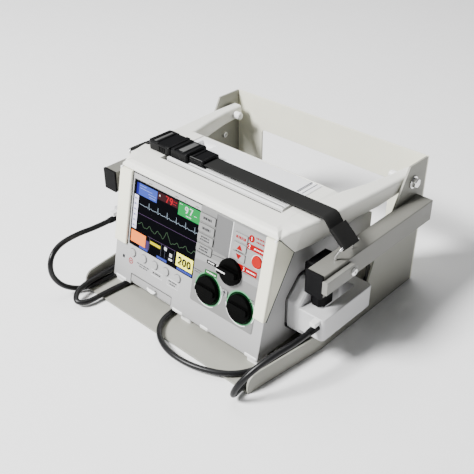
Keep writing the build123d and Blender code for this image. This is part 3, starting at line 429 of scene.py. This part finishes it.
def screen_marks():
    """What the display shows: two number boxes, two traces, status boxes and a menu strip."""
    def group(name, color, strength=1.4, level=0.0):
        return Marks("display_" + name, glow(name, color, strength), "screen_lit",
                     height=GLASS_H + level, thick=KEY_PRINT)

    blue = group("blue", (0.055, 0.10, 0.52))
    blue.box(-93.5, -61.0, 120.2, 135.0)
    deep = group("deep_blue", (0.008, 0.004, 0.23))
    deep.box(-97.4, -93.6, 120.2, 135.0)
    pale = group("pale", (0.85, 0.82, 0.98), 2.2)
    pale.box(-100.2, -92.6, 74.0, 118.6)
    icons = group("icons", (0.30, 0.30, 0.62), 1.2, DISPLAY_OVER)
    for k in range(6):
        v = 114.0 - 7.2 * k
        icons.box(-99.0, -96.0, v - 1.2, v + 1.2)
        icons.box(-95.4, -93.4, v - 0.5, v + 0.5)
    light = group("light_lines", (0.30, 0.40, 0.90), 1.4, DISPLAY_OVER)
    rows = ((-91.5, -80.0), (-91.5, -70.0), (-76.0, -63.0), (-74.0, -63.0))
    for row, (u0, u1) in enumerate(rows):
        light.dashes(u0, u1, 132.5 - 3.2 * row, 0.8, seed=row)
    maroon = group("maroon", (0.034, 0.0015, 0.005))
    maroon.box(-60.4, -25.0, 126.4, 135.6)
    red = group("red", (0.55, 0.0005, 0.012), 1.4, DISPLAY_OVER)
    red.number("79", -46.4, 127.2, 5.2, 7.6, 1.7, 1.7)
    red.dashes(-33.0, -26.4, 132.6, 0.9)
    red.dashes(-33.0, -28.4, 129.4, 0.9, seed=2)
    green = group("green", (0.002, 0.34, 0.07))
    green.box(-24.2, 11.6, 120.2, 136.6)
    white = group("white", (0.90, 0.94, 0.96), 1.3, DISPLAY_OVER)
    white.number("97", -13.4, 126.2, 5.2, 7.6, 1.7, 2.2)
    white.dashes(-10.6, -1.0, 122.9, 1.3, seed=1)
    white.dashes(2.2, 6.6, 127.4, 0.8)
    white.dashes(-22.6, -18.0, 134.4, 0.8, seed=2)
    white.disc(-56.6, 131.6, 1.1)
    route = [(-89.6, 108.9)] + [(beat + after, v) for beat in BEATS for after, v in HEARTBEAT]
    route = [p for p in route if p[0] < DISPLAY_RIGHT] + [(DISPLAY_RIGHT, 108.3)]
    trace = group("trace", (0.40, 0.50, 0.60), 1.4, 0.03)
    trace.line(route, 0.42)
    for k, u in enumerate((-37.4, -27.6)):
        white.box(u - 2.2, u + 2.2, 62.4 + 4.6 * (1 - k), 66.6 + 4.6 * (1 - k))
    white.box(-30.6, -24.4, 57.4, 60.0)
    rose = group("rose", (0.12, 0.065, 0.16))
    rose.line([(-90.6, 96.4), (DISPLAY_RIGHT, 97.8)], 0.4)
    rose.line([(-70.0, 72.6), (-18.6, 73.4)], 0.4)
    pulse = group("pulse", (0.06, 0.12, 0.06))
    wave = []
    for u in range(-90, math.ceil(DISPLAY_RIGHT)):
        v = 83.0 + 2.5 * math.sin(math.radians((u + 88.0) * 23.0))
        v += 0.9 * math.sin(math.radians(u * 51.0))
        v += 6.0 * math.exp(-((u + 38.0) / 2.4) ** 2) - 3.0 * math.exp(-((u + 24.0) / 5.0) ** 2)
        wave.append((u, v))
    pulse.line(wave, 0.55)
    peach = group("peach", (0.95, 0.23, 0.04), 2.4)
    peach.box(-100.2, -73.2, 55.4, 71.2)
    violet = group("violet", (0.07, 0.04, 0.15))
    violet.box(-72.4, -66.8, 54.4, 66.4)
    yellow = group("yellow", (0.90, 0.76, 0.0), 1.2)
    yellow.box(-65.0, -46.4, 65.0, 68.8)
    grey = group("grey", (0.16, 0.17, 0.22), 1.0)
    for u in (-66.0, -45.0, -38.0, -22.0):
        grey.line([(u, 56.0), (u, 72.6)], 0.35)
    cream = group("cream", (0.97, 0.93, 0.10), 3.4)
    cream.box(-18.0, 9.8, 56.2, 73.4)
    black = group("black_digits", (0.003, 0.003, 0.003), 0.0, DISPLAY_OVER)
    black.number("200", -14.6, 60.0, 5.4, 8.8, 2.8, 2.2)
    black.box(6.4, 7.3, 60.2, 63.4)
    slate = group("slate", (0.05, 0.075, 0.42))
    slate.box(-83.6, -68.0, 51.9, 54.9)
    slate.box(-51.2, -33.6, 51.9, 54.9)
    slate.box(-15.6, 9.8, 51.9, 54.9)


def front_lines():
    """Gaps between the mouldings of the front."""
    gap = Marks("front_gaps", ink("gap", (0.016, 0.016, 0.015), 0.7), "gasket_black",
                height=SHELL_H, thick=GAP)
    gap.line([(-104.0, 146.0), (102.2, 146.0), (109.8, 137.2)], 1.2)
    gap.line([(110.2, 138.4), (110.2, 50.0), (112.6, 48.6), (124.6, 48.6)], 0.55)
    gap.line([(-104.2, 146.8), (-104.2, 49.2), (-106.4, 48.4), (-124.6, 48.4)], 0.9)
    gap.line([(-101.6, 51.0), (-101.6, 137.9), (12.2, 137.9)], 0.5)
    gap.line([(-92.6, 11.4), (-17.4, 11.4)], 0.5)
    gap.line([(-92.6, 0.9), (-92.6, 11.4)], 0.4)
    gap.line([(-17.4, 0.9), (-17.4, 11.4)], 0.4)
    ticks = Marks("shell_ticks", ink("tick_grey", (0.015, 0.015, 0.017)), "housing_grey",
                  height=SHELL_H, thick=PRINT)
    for k, u in enumerate((-76.0, -31.0, -15.0, 3.0)):
        ticks.dashes(u, u + 5.6, 140.6, 0.9, seed=k)
    ticks.box(-111.4, -107.6, 27.2, 31.4)
    ticks.dashes(-84.0, -61.4, 30.8, 1.6, seed=1)
    ticks.dashes(-80.0, -64.0, 27.8, 1.5, seed=3)
    ticks.dashes(-54.2, -40.4, 30.0, 2.2, seed=2)
    ticks.dashes(-25.6, -11.4, 31.8, 1.8, seed=4)
    ticks.dashes(-23.4, -13.6, 28.2, 1.8, seed=2)
    frames = Marks("shell_label_frames", ink("frame_grey", (0.80, 0.80, 0.81)), "housing_grey",
                   height=SHELL_H, thick=PRINT)
    for u0, u1, v0, v1 in ((-57.2, -37.2, 26.4, 33.6), (-28.2, -8.8, 25.4, 34.2)):
        frames.line([(u0, v0), (u1, v0), (u1, v1), (u0, v1)], 0.4, closed=True)
    mute = Marks("mute_mark", ink("shell_red", (0.30, 0.006, 0.008)), "key_red",
                 height=SHELL_H, thick=KEY_PRINT)
    mute.ring(-95.4, 28.4, 2.9, 4.2)
    mute.disc(-95.4, 28.4, 1.4)
    halo = Marks("soft_key_halos", ink("halo", (0.24, 0.24, 0.25)), "housing_grey", height=SHELL_H,
                 thick=PRINT)
    for u in SOFT_KEY_U:
        halo.ring(u, SOFT_KEY_V, 5.35, 6.1, 150, 390)


def panel_marks():
    """Printing on the control panel, clear of its keys' openings."""
    paper = Marks("panel_light", ink("panel_light", (0.27, 0.27, 0.267)), "panel_grey", thick=PRINT)
    paper.box(63.0, 66.9, 98.4, 144.4)
    for v0, v1 in ((98.4, 103.6), (113.2, 114.8), (124.4, 126.2), (135.8, 144.4)):
        paper.box(66.9, 86.1, v0, v1)
    u, v = SHOCK_KEY
    hole = [math.radians(-20.0 - 8.0 * k) for k in range(41)]    # opens to the right
    paper.polygon([(86.1, 144.4), (86.1, 98.4), (110.0, 98.4)]
                  + [(u + 7.45 * math.cos(a), v + 7.45 * math.sin(a)) for a in hole]
                  + [(110.0, 144.4)])
    paper.polygon([(12.9, 79.6), (60.0, 83.4), (110.2, 84.0), (110.2, 92.6), (60.0, 90.4),
                   (12.9, 86.8)])
    blank = Marks("panel_blank", ink("panel_blank", (0.14, 0.14, 0.14)), "panel_grey", thick=PRINT)
    blank.box(38.4, 61.6, 99.6, 144.2)
    white = Marks("panel_white", ink("panel_white", (0.85, 0.85, 0.84)), "panel_grey",
                  height=SECOND_H)
    white.line([(62.3, 98.8), (62.3, 144.6)], 0.8)
    dark = Marks("panel_dark", ink("panel_dark", (0.006, 0.006, 0.006)), "panel_grey",
                 height=SECOND_H)
    dark.line([(37.9, 102.0), (37.9, 144.0)], 0.35)
    dark.line([(38.2, 94.8), (61.0, 96.8)], 0.55)
    dark.dashes(70.4, 82.6, 114.0, 1.3, lift=0.06, seed=2)
    dark.dashes(14.0, 36.0, 89.6, 1.8)
    dark.box(31.4, 46.4, 81.2, 85.6)
    white.dashes(33.6, 44.0, 83.4, 1.4, lift=OVER, seed=2)
    white.line([(46.4, 83.4), (52.0, 84.4)], 1.0)
    green = Marks("panel_green", ink("panel_green", (0.018, 0.11, 0.03)), "panel_grey",
                  height=SECOND_H)
    green.polygon([(30.4, 66.8), (49.6, 68.6), (49.6, 74.6), (30.4, 72.8)])
    white.dashes(33.0, 47.6, 70.8, 1.5, lift=OVER, seed=1)
    grey = Marks("panel_grey_text", ink("panel_text", (0.055, 0.055, 0.055)), "panel_grey",
                 height=SECOND_H)
    grey.dashes(13.6, 27.0, 66.6, 1.0, seed=1)
    grey.dashes(14.6, 24.0, 63.8, 1.0, seed=3)
    grey.dashes(100.0, 106.4, 66.0, 1.0, seed=2)
    grey.dashes(100.8, 105.6, 62.6, 1.0, seed=4)
    red = Marks("panel_red", ink("panel_red", (0.27, 0.0, 0.002), 0.4), "key_red",
                height=SECOND_H)
    red.disc(90.2, 135.6, 4.1)
    red.dashes(96.0, 109.6, 138.8, 1.8, seed=1)
    red.dashes(97.0, 109.6, 134.4, 1.8, seed=3)
    red.polygon([(86.0, 122.4), (110.2, 122.4), (110.2, 129.2), (86.0, 129.2)])
    red.polygon([(65.0, 94.4), (104.8, 93.5), (104.8, 100.6), (65.0, 100.6)])
    white.number("1", 88.9, 133.2, 2.4, 4.8, 0.8, lift=OVER)
    white.number("2", 87.6, 123.8, 2.2, 4.2, 0.7, lift=OVER)
    white.number("3", 84.4, 95.2, 2.2, 4.0, 0.7, lift=OVER)
    white.dashes(95.6, 108.6, 125.8, 1.4, lift=OVER, seed=2)
    white.dashes(90.0, 102.6, 97.0, 1.6, lift=OVER, seed=1)
    white.ring(*SHOCK_KEY, 7.6, 8.3, 35, 325)
    for u, v in LOWER_KNOBS:
        deep = Marks("knob_ring_dark_%d" % u, ink("ring_dark_%d" % u, (0.002, 0.022, 0.006)),
                     "panel_grey", height=PANEL_H + 0.02, thick=KEY_PRINT)
        deep.ring(u, v, 16.6, 19.3)
        soft = Marks("knob_ring_pale_%d" % u, ink("ring_pale_%d" % u, (0.11, 0.34, 0.17)),
                     "panel_grey", height=PANEL_H, thick=KEY_PRINT)
        soft.ring(u, v, 18.8, 21.0)
        white.ring(u, v, 21.0, 22.0, 185, 300)
        white.ring(u, v, 21.0, 21.8, 330, 395)
    tick = Marks("selector_ticks", MAT["panel_grey"], "panel_grey", thick=PRINT)
    tick.ring(*SELECTOR, 17.4, 18.2, 150, 210)


def key_marks():
    """Labels that move with their keys and knobs."""
    for k, v in enumerate(SIDE_KEY_V):
        label = Marks("side_key_label_%d" % (k + 1), ink("key_text_%d" % k, (0.012, 0.012, 0.014)),
                      "key_pale", "side_key_%d" % (k + 1), KEY_H, KEY_PRINT)
        if k in (0, 1):
            label.dashes(18.6, 31.4, v, 2.8, seed=k)
        else:
            label.dashes(18.6, 31.4, v + 1.9, 1.8, seed=k)
            label.dashes(17.6, 31.8, v - 1.6, 1.8, seed=k + 2)
    red = ink("key_red_print", (0.27, 0.0, 0.002))
    charge = Marks("charge_label", red, "key_red", "key_charge", KEY_H, KEY_PRINT)
    charge.dashes(69.4, 83.6, 131.0, 3.2, seed=2)
    up = Marks("up_arrow", red, "key_red", "key_energy_up", KEY_H, KEY_PRINT)
    up.polygon([(72.2, 116.6), (80.8, 116.6), (76.5, 123.0)])
    down = Marks("down_arrow", red, "key_red", "key_energy_down", KEY_H, KEY_PRINT)
    down.polygon([(72.2, 111.4), (76.5, 105.0), (80.8, 111.4)])
    arrow = Marks("help_arrow", ink("help_mark", (0.05, 0.05, 0.055)), "key_pale", "key_help",
                  KEY_H, KEY_PRINT)
    arrow.line([(64.5, 53.4), (64.5, 58.6)], 1.6)
    arrow.polygon([(61.8, 57.4), (67.2, 57.4), (64.5, 61.0)])
    pointer_ink = ink("pointer", (0.88, 0.88, 0.86))
    pointer = Marks("selector_pointer", pointer_ink, "knob_black", "knob_selector", 11.0, 0.1)
    u, v = SELECTOR
    pointer.line([(u - 14.0, v), (u - 0.4, v)], 1.5)


screen_marks()
front_lines()
panel_marks()
key_marks()
for mark in Marks.everything:
    mark.build()


# ---------------------------------------------------------------- solid detail pieces
def finish_mesh(name, shape, material, body="chassis", nodes=(), smooth=40):
    """Turn a mesh under construction into a piece that rides on a body."""
    bmesh.ops.recalc_face_normals(shape, faces=shape.faces)
    data = bpy.data.meshes.new(name)
    shape.to_mesh(data)
    shape.free()
    data.materials.append(material)
    data.shade_smooth()
    data.set_sharp_from_angle(angle=math.radians(smooth))
    piece = bpy.data.objects.new(name, data)
    bpy.context.scene.collection.objects.link(piece)
    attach(piece, body)
    if nodes:
        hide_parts(*nodes)


def rounded_block(shape, x, y, z, radius=0.8, steps=3):
    """Add a block with rounded edges to a mesh; x, y, z are (low, high) in millimetres."""
    made = bmesh.ops.create_cube(shape, size=1.0)["verts"]
    low, high = at(x[0], y[0], z[0]), at(x[1], y[1], z[1])
    for vertex in made:
        for axis in range(3):
            vertex.co[axis] = high[axis] if vertex.co[axis] > 0 else low[axis]
    edges = {edge for vertex in made for edge in vertex.link_edges}
    bmesh.ops.bevel(shape, geom=list(edges), offset=radius * MM, segments=steps, profile=0.5,
                    affect="EDGES")


def smooth_path(points, step=0.6, reach=2.6):
    """Round the corners of a path (x, z) and space its points evenly."""
    places = [Vector((p[0], 0.0, p[1])) for p in points]
    out = [places[0]]
    for before, here, after in zip(places, places[1:], places[2:]):
        cut = min(reach, (here - before).length * 0.45, (after - here).length * 0.45)
        start = here + (before - here).normalized() * cut
        end = here + (after - here).normalized() * cut
        for k in range(7):
            t = k / 6
            out.append(start * (1 - t) ** 2 + here * 2 * t * (1 - t) + end * t ** 2)
    out.append(places[-1])
    dense = []
    for a, b in zip(out, out[1:]):
        count = max(1, int((b - a).length / step))
        dense += [a.lerp(b, k / count) for k in range(count)]
    return dense + [out[-1]]


STRAP_Y = 123.5                            # middle of the strap
STRAP_Z = 177.0                            # top of its level run
BAND = (25.0, 2.0)                         # width and thickness
FOLD = (26.6, 2.5)                         # the end folded back round the hook
UNDER_FOLD = (26.6, 2.2)
# Routes of the webbing's upper face from the level run to the hooks (x, z)
RIGHT_BEND = [(145.5, 177.0), (150.0, 174.0), (157.0, 165.0), (169.0, 153.6)]
LEFT_BEND = [(-125.0, 176.4), (-131.0, 173.2), (-164.0, 153.8)]
RIGHT_FOLD = [(158.0, 168.6), (165.6, 162.2), (175.4, 153.4), (177.6, 150.9)]
LEFT_FOLD = [(-148.8, 164.2), (-155.0, 160.6), (-168.4, 152.9), (-170.0, 151.8)]
RIB, RIB_PITCH = 0.09, 1.9                 # height and spacing of the weave's cross ribs
HALF_ACROSS = (0.2, 0.4, 0.6, 0.8, 0.93, 0.985, 1.0)


def webbing_band(shape, points, width, thick):
    """Woven band: flat section, thin rounded edges and cross ribs."""
    line = smooth_path(points)
    across = [-s for s in reversed(HALF_ACROSS)] + [0.0] + list(HALF_ACROSS)
    rows = []
    travelled = 0.0
    for i, place in enumerate(line):
        along = (line[min(i + 1, len(line) - 1)] - line[max(i - 1, 0)]).normalized()
        normal = Vector((-along.z, 0, along.x))
        if normal.z < 0:
            normal.negate()
        if i:
            travelled += (place - line[i - 1]).length
        ripple = RIB * math.sin(2 * math.pi * travelled / RIB_PITCH)
        upper, lower = [], []
        for s in across:
            edge = math.sqrt(max(0.0, 1 - abs(s) ** 14))
            half = thick / 2 * edge
            middle = place - normal * thick / 2
            ridge = ripple * (1 - abs(s) ** 8)
            y = STRAP_Y + s * width / 2
            top = middle + normal * (half + ridge - 0.1)
            bottom = middle - normal * max(half - 0.05, 0.0)
            upper.append(shape.verts.new(at(top.x, y, top.z)))
            if abs(s) < 1.0:
                lower.append(shape.verts.new(at(bottom.x, y, bottom.z)))
        rows.append(upper + list(reversed(lower)))
    for here, there in zip(rows, rows[1:]):
        count = len(here)
        for k in range(count):
            j = (k + 1) % count
            shape.faces.new((here[k], here[j], there[j], there[k]))
    shape.faces.new(rows[0])
    shape.faces.new(list(reversed(rows[-1])))


def straps():
    """Both webbing runs, each with its end folded round a hook."""
    for name, start, bend, fold in (("strap_right", -34.0, RIGHT_BEND, RIGHT_FOLD),
                                    ("strap_left", -121.0, LEFT_BEND, LEFT_FOLD)):
        side = 1 if bend[0][0] > 0 else -1
        shape = bmesh.new()
        webbing_band(shape, [(start, STRAP_Z)] + bend, *BAND)
        webbing_band(shape, fold, *FOLD)
        webbing_band(shape, [(x - side * 1.6, z - 2.1) for x, z in fold], *UNDER_FOLD)
        finish_mesh(name + "_webbing", shape, MAT["webbing_black"], nodes=(name,),
                    smooth=60)


straps()


BUCKLE_TOP = 182.0
BUCKLE_HALF = 19.0                         # half its width across the strap
ROOT = 0.6                                 # how far a raised detail reaches into its part


def buckle():
    """Relief on the side-release buckle and the slide adjuster."""
    shape = bmesh.new()
    y0, y1 = STRAP_Y - BUCKLE_HALF, STRAP_Y + BUCKLE_HALF
    top, root = BUCKLE_TOP, BUCKLE_TOP - ROOT
    rounded_block(shape, (-121.6, -116.6), (y0 + 1.5, y1 - 1.5), (root, top + 1.3), 0.7)
    rounded_block(shape, (-110.6, -107.6), (y0 + 3.0, y1 - 3.0), (root, top + 0.9), 0.5)
    rounded_block(shape, (-87.6, -84.4), (y0 + 1.5, y1 - 1.5), (root, top + 0.9), 0.5)
    for side in (-1, 1):
        edge = STRAP_Y + side * 17.0
        rounded_block(shape, (-119.0, -104.6), (edge - 1.5, edge + 1.5), (root, top + 1.0), 0.5)
        rounded_block(shape, (-91.4, -85.0), (edge - 1.5, edge + 1.5), (root, top + 1.0), 0.5)
        grip = STRAP_Y + side * 18.2
        for k in range(4):
            rounded_block(shape, (-103.4 + 3.0 * k, -101.8 + 3.0 * k), (grip - 1.3, grip + 1.3),
                          (174.4, 179.8), 0.4)
    finish_mesh("buckle_female_relief", shape, MAT["buckle_black"])
    shape = bmesh.new()
    rounded_block(shape, (-82.6, -77.0), (y0 + 2.2, y1 - 2.2), (root, top + 1.2), 0.8)
    rounded_block(shape, (-74.0, -62.6), (y0 + 3.4, y1 - 3.4), (root, top + 0.7), 0.6)
    rounded_block(shape, (-60.4, -56.0), (y0 + 2.2, y1 - 2.2), (root, top + 1.0), 0.8)
    finish_mesh("buckle_male_relief", shape, MAT["buckle_black"])
    shape = bmesh.new()
    rounded_block(shape, (-54.0, -49.6), (y0 + 5.2, y1 - 5.2), (179.2, 180.6), 0.6)
    rounded_block(shape, (-36.0, -32.0), (y0 + 5.2, y1 - 5.2), (179.2, 180.5), 0.6)
    finish_mesh("adjuster_relief", shape, MAT["buckle_black"])
    shape = bmesh.new()
    rounded_block(shape, (-115.8, -111.6), (y0 + 4.0, y1 - 4.0), (root, top + 0.5), 0.3)
    rounded_block(shape, (-72.6, -64.0), (y0 + 5.6, y1 - 5.6), (root, top + 0.95), 0.3)
    finish_mesh("buckle_insets", shape, MAT["buckle_inset"])
    shape = bmesh.new()
    rounded_block(shape, (-53.4, -33.0), (STRAP_Y - 13.6, STRAP_Y - 12.7), (180.2, 180.9), 0.2, 1)
    finish_mesh("adjuster_edge", shape, MAT["buckle_inset"])


buckle()


def front_trim():
    """Pull tab, lips under the front edge, dark strips of painted groove shade on the battery,
    recorder gaps, and ribs painted lighter than the recorder lid as painted highlight.
    """
    shape = bmesh.new()
    angles = [math.pi * k / 16 for k in range(17)]
    outline = [(-51.2 + 8.2 * math.cos(a), 7.2 - 4.68 * math.sin(a)) for a in angles]
    low = [shape.verts.new(front(u, v, 1.2)) for u, v in outline]
    high = [shape.verts.new(front(u, v, 3.2)) for u, v in outline]
    shape.faces.new(high)
    shape.faces.new(list(reversed(low)))
    for i in range(len(outline)):
        j = (i + 1) % len(outline)
        shape.faces.new((high[i], low[i], low[j], high[j]))
    bmesh.ops.bevel(shape, geom=list(shape.edges), offset=0.4 * MM, segments=2, affect="EDGES")
    finish_mesh("door_tab_cap", shape, MAT["tab_white"], body="card_door")
    shape = bmesh.new()
    for u0, u1 in ((-121.0, -101.0), (-14.6, 3.6), (33.4, 47.4), (105.0, 124.0)):
        rounded_block(shape, (u0, u1), (33.6, 42.0), (11.6, 17.0), 1.6, 4)
    finish_mesh("front_lips", shape, MAT["foot_white"])
    # two dark strips across the battery's top: painted shade standing for its grooves
    shape = bmesh.new()
    for x0, x1 in ((82.2, 83.6), (90.0, 91.2)):
        rounded_block(shape, (x0, x1), (145.0, 173.4), (170.0, 170.9), 0.2, 1)
    finish_mesh("battery_groove_shade", shape, MAT["groove_shade"], body="battery")
    shape = bmesh.new()
    lid = (-86.0, 96.0)
    rounded_block(shape, (-90.2, -87.2), (98.4, 136.4), (160.9, 166.4), 0.2, 1)
    rounded_block(shape, (97.7, 100.2), (98.4, 136.4), (160.9, 166.4), 0.2, 1)
    rounded_block(shape, (-84.0, 94.0), (114.4, 115.2), (170.6, 171.1), 0.2, 1)
    rounded_block(shape, lid, (101.9, 103.3), (165.9, 166.9), 0.2, 1)
    rounded_block(shape, lid, (107.0, 107.8), (170.5, 171.25), 0.2, 1)
    finish_mesh("recorder_gaps", shape, MAT["gap_black"])
    # ribs on the recorder lid, painted lighter than the lid as painted highlight
    shape = bmesh.new()
    for y0, y1, z in ((98.2, 99.6, 166.7), (100.6, 101.6, 166.7), (104.2, 105.8, 171.5),
                      (109.6, 110.8, 171.4), (117.4, 119.4, 171.5)):
        rounded_block(shape, lid, (y0, y1), (z - 0.9, z), 0.35, 2)
    finish_mesh("recorder_ribs", shape, MAT["recorder_rib_highlight"])


front_trim()


SEAM_HALF = 0.32                           # half the gap's width
SEAM_X = (124.8, 126.9)                    # how deep it lies and how far it shows
BAR_FACES = ((0, 1, 2, 3), (7, 6, 5, 4), (0, 4, 5, 1), (1, 5, 6, 2), (2, 6, 7, 3), (3, 7, 4, 0))
SCREW_X = 124.0                            # the corner screws, left and right


def side_seams():
    """Dark gaps along the pillars' cheeks, and the white screws at their top corners."""
    shape = bmesh.new()
    route = [Vector((0, 66.4, 160.2)), Vector((0, 89.6, 135.0)), Vector((0, 46.0, 63.4))]
    for side in (-1, 1):
        for a, b in zip(route, route[1:]):
            along = (b - a).normalized()
            wide = Vector((0, -along.z, along.y)) * SEAM_HALF
            corners = [shape.verts.new(at(side * x, p.y, p.z)) for x in SEAM_X
                       for p in (a + wide, b + wide, b - wide, a - wide)]
            for face in BAR_FACES:
                shape.faces.new([corners[k] for k in face])
    finish_mesh("side_seams", shape, MAT["gap_black"])
    shape = bmesh.new()
    for side in (-1, 1):
        x = side * SCREW_X
        rounded_block(shape, (x - 1.6, x + 1.6), (60.6, 63.6), (158.6, 161.8), 0.9)
    finish_mesh("corner_screws", shape, MAT["nut_white"])


side_seams()

# ---------------------------------------------------------------- camera, floor and light
CAMERA_AT = (537.3, -442.5, 589.0)
CAMERA_AIM = (-7.2, 143.2, 70.05)
LENS, SENSOR = 57.06, 36.0
FLOOR_HALF = 6.0                           # metres
FLOOR_GAP = 0.0004                         # the floor lies this far under the object, metres
WORLD_LIGHT = 0.13                         # strength of the even light all round

camera_data = bpy.data.cameras.new("camera")
camera_data.lens = LENS
camera_data.sensor_width = SENSOR
camera = bpy.data.objects.new("camera", camera_data)
bpy.context.scene.collection.objects.link(camera)
camera.location = at(*CAMERA_AT)
aim = at(*CAMERA_AIM) - camera.location
camera.rotation_euler = aim.to_track_quat("-Z", "Y").to_euler()
bpy.context.scene.camera = camera


def lamp(name, place, target, size, power):
    """A round soft light; places and size in metres."""
    data = bpy.data.lights.new(name, "AREA")
    data.shape = "DISK"
    data.size = size
    data.energy = power
    piece = bpy.data.objects.new(name, data)
    bpy.context.scene.collection.objects.link(piece)
    piece.location = place
    toward = Vector(target) - Vector(place)
    piece.rotation_euler = toward.to_track_quat("-Z", "Y").to_euler()


lamp("key_light", (-1.2, -2.7, 3.1), (0, 0, 0.08), 1.3, 520)
lamp("top_light", (-0.6, 0.4, 2.0), (0, 0, 0.1), 1.5, 22)

world = bpy.data.worlds.new("studio")
world.use_nodes = True
background = world.node_tree.nodes["Background"]
background.inputs["Color"].default_value = (0.95, 0.97, 1.0, 1)
background.inputs["Strength"].default_value = WORLD_LIGHT
bpy.context.scene.world = world

floor_mesh = bpy.data.meshes.new("floor")
shape = bmesh.new()
bmesh.ops.create_grid(shape, x_segments=1, y_segments=1, size=FLOOR_HALF)
shape.to_mesh(floor_mesh)
shape.free()
floor = bpy.data.objects.new("floor", floor_mesh)
bpy.context.scene.collection.objects.link(floor)
floor.location.z = -FLOOR_GAP
floor_mesh.materials.append(surface("floor_white", (0.95, 0.95, 0.95), 0.8, 60, 0.02, 0.01,
                                    edge=0))
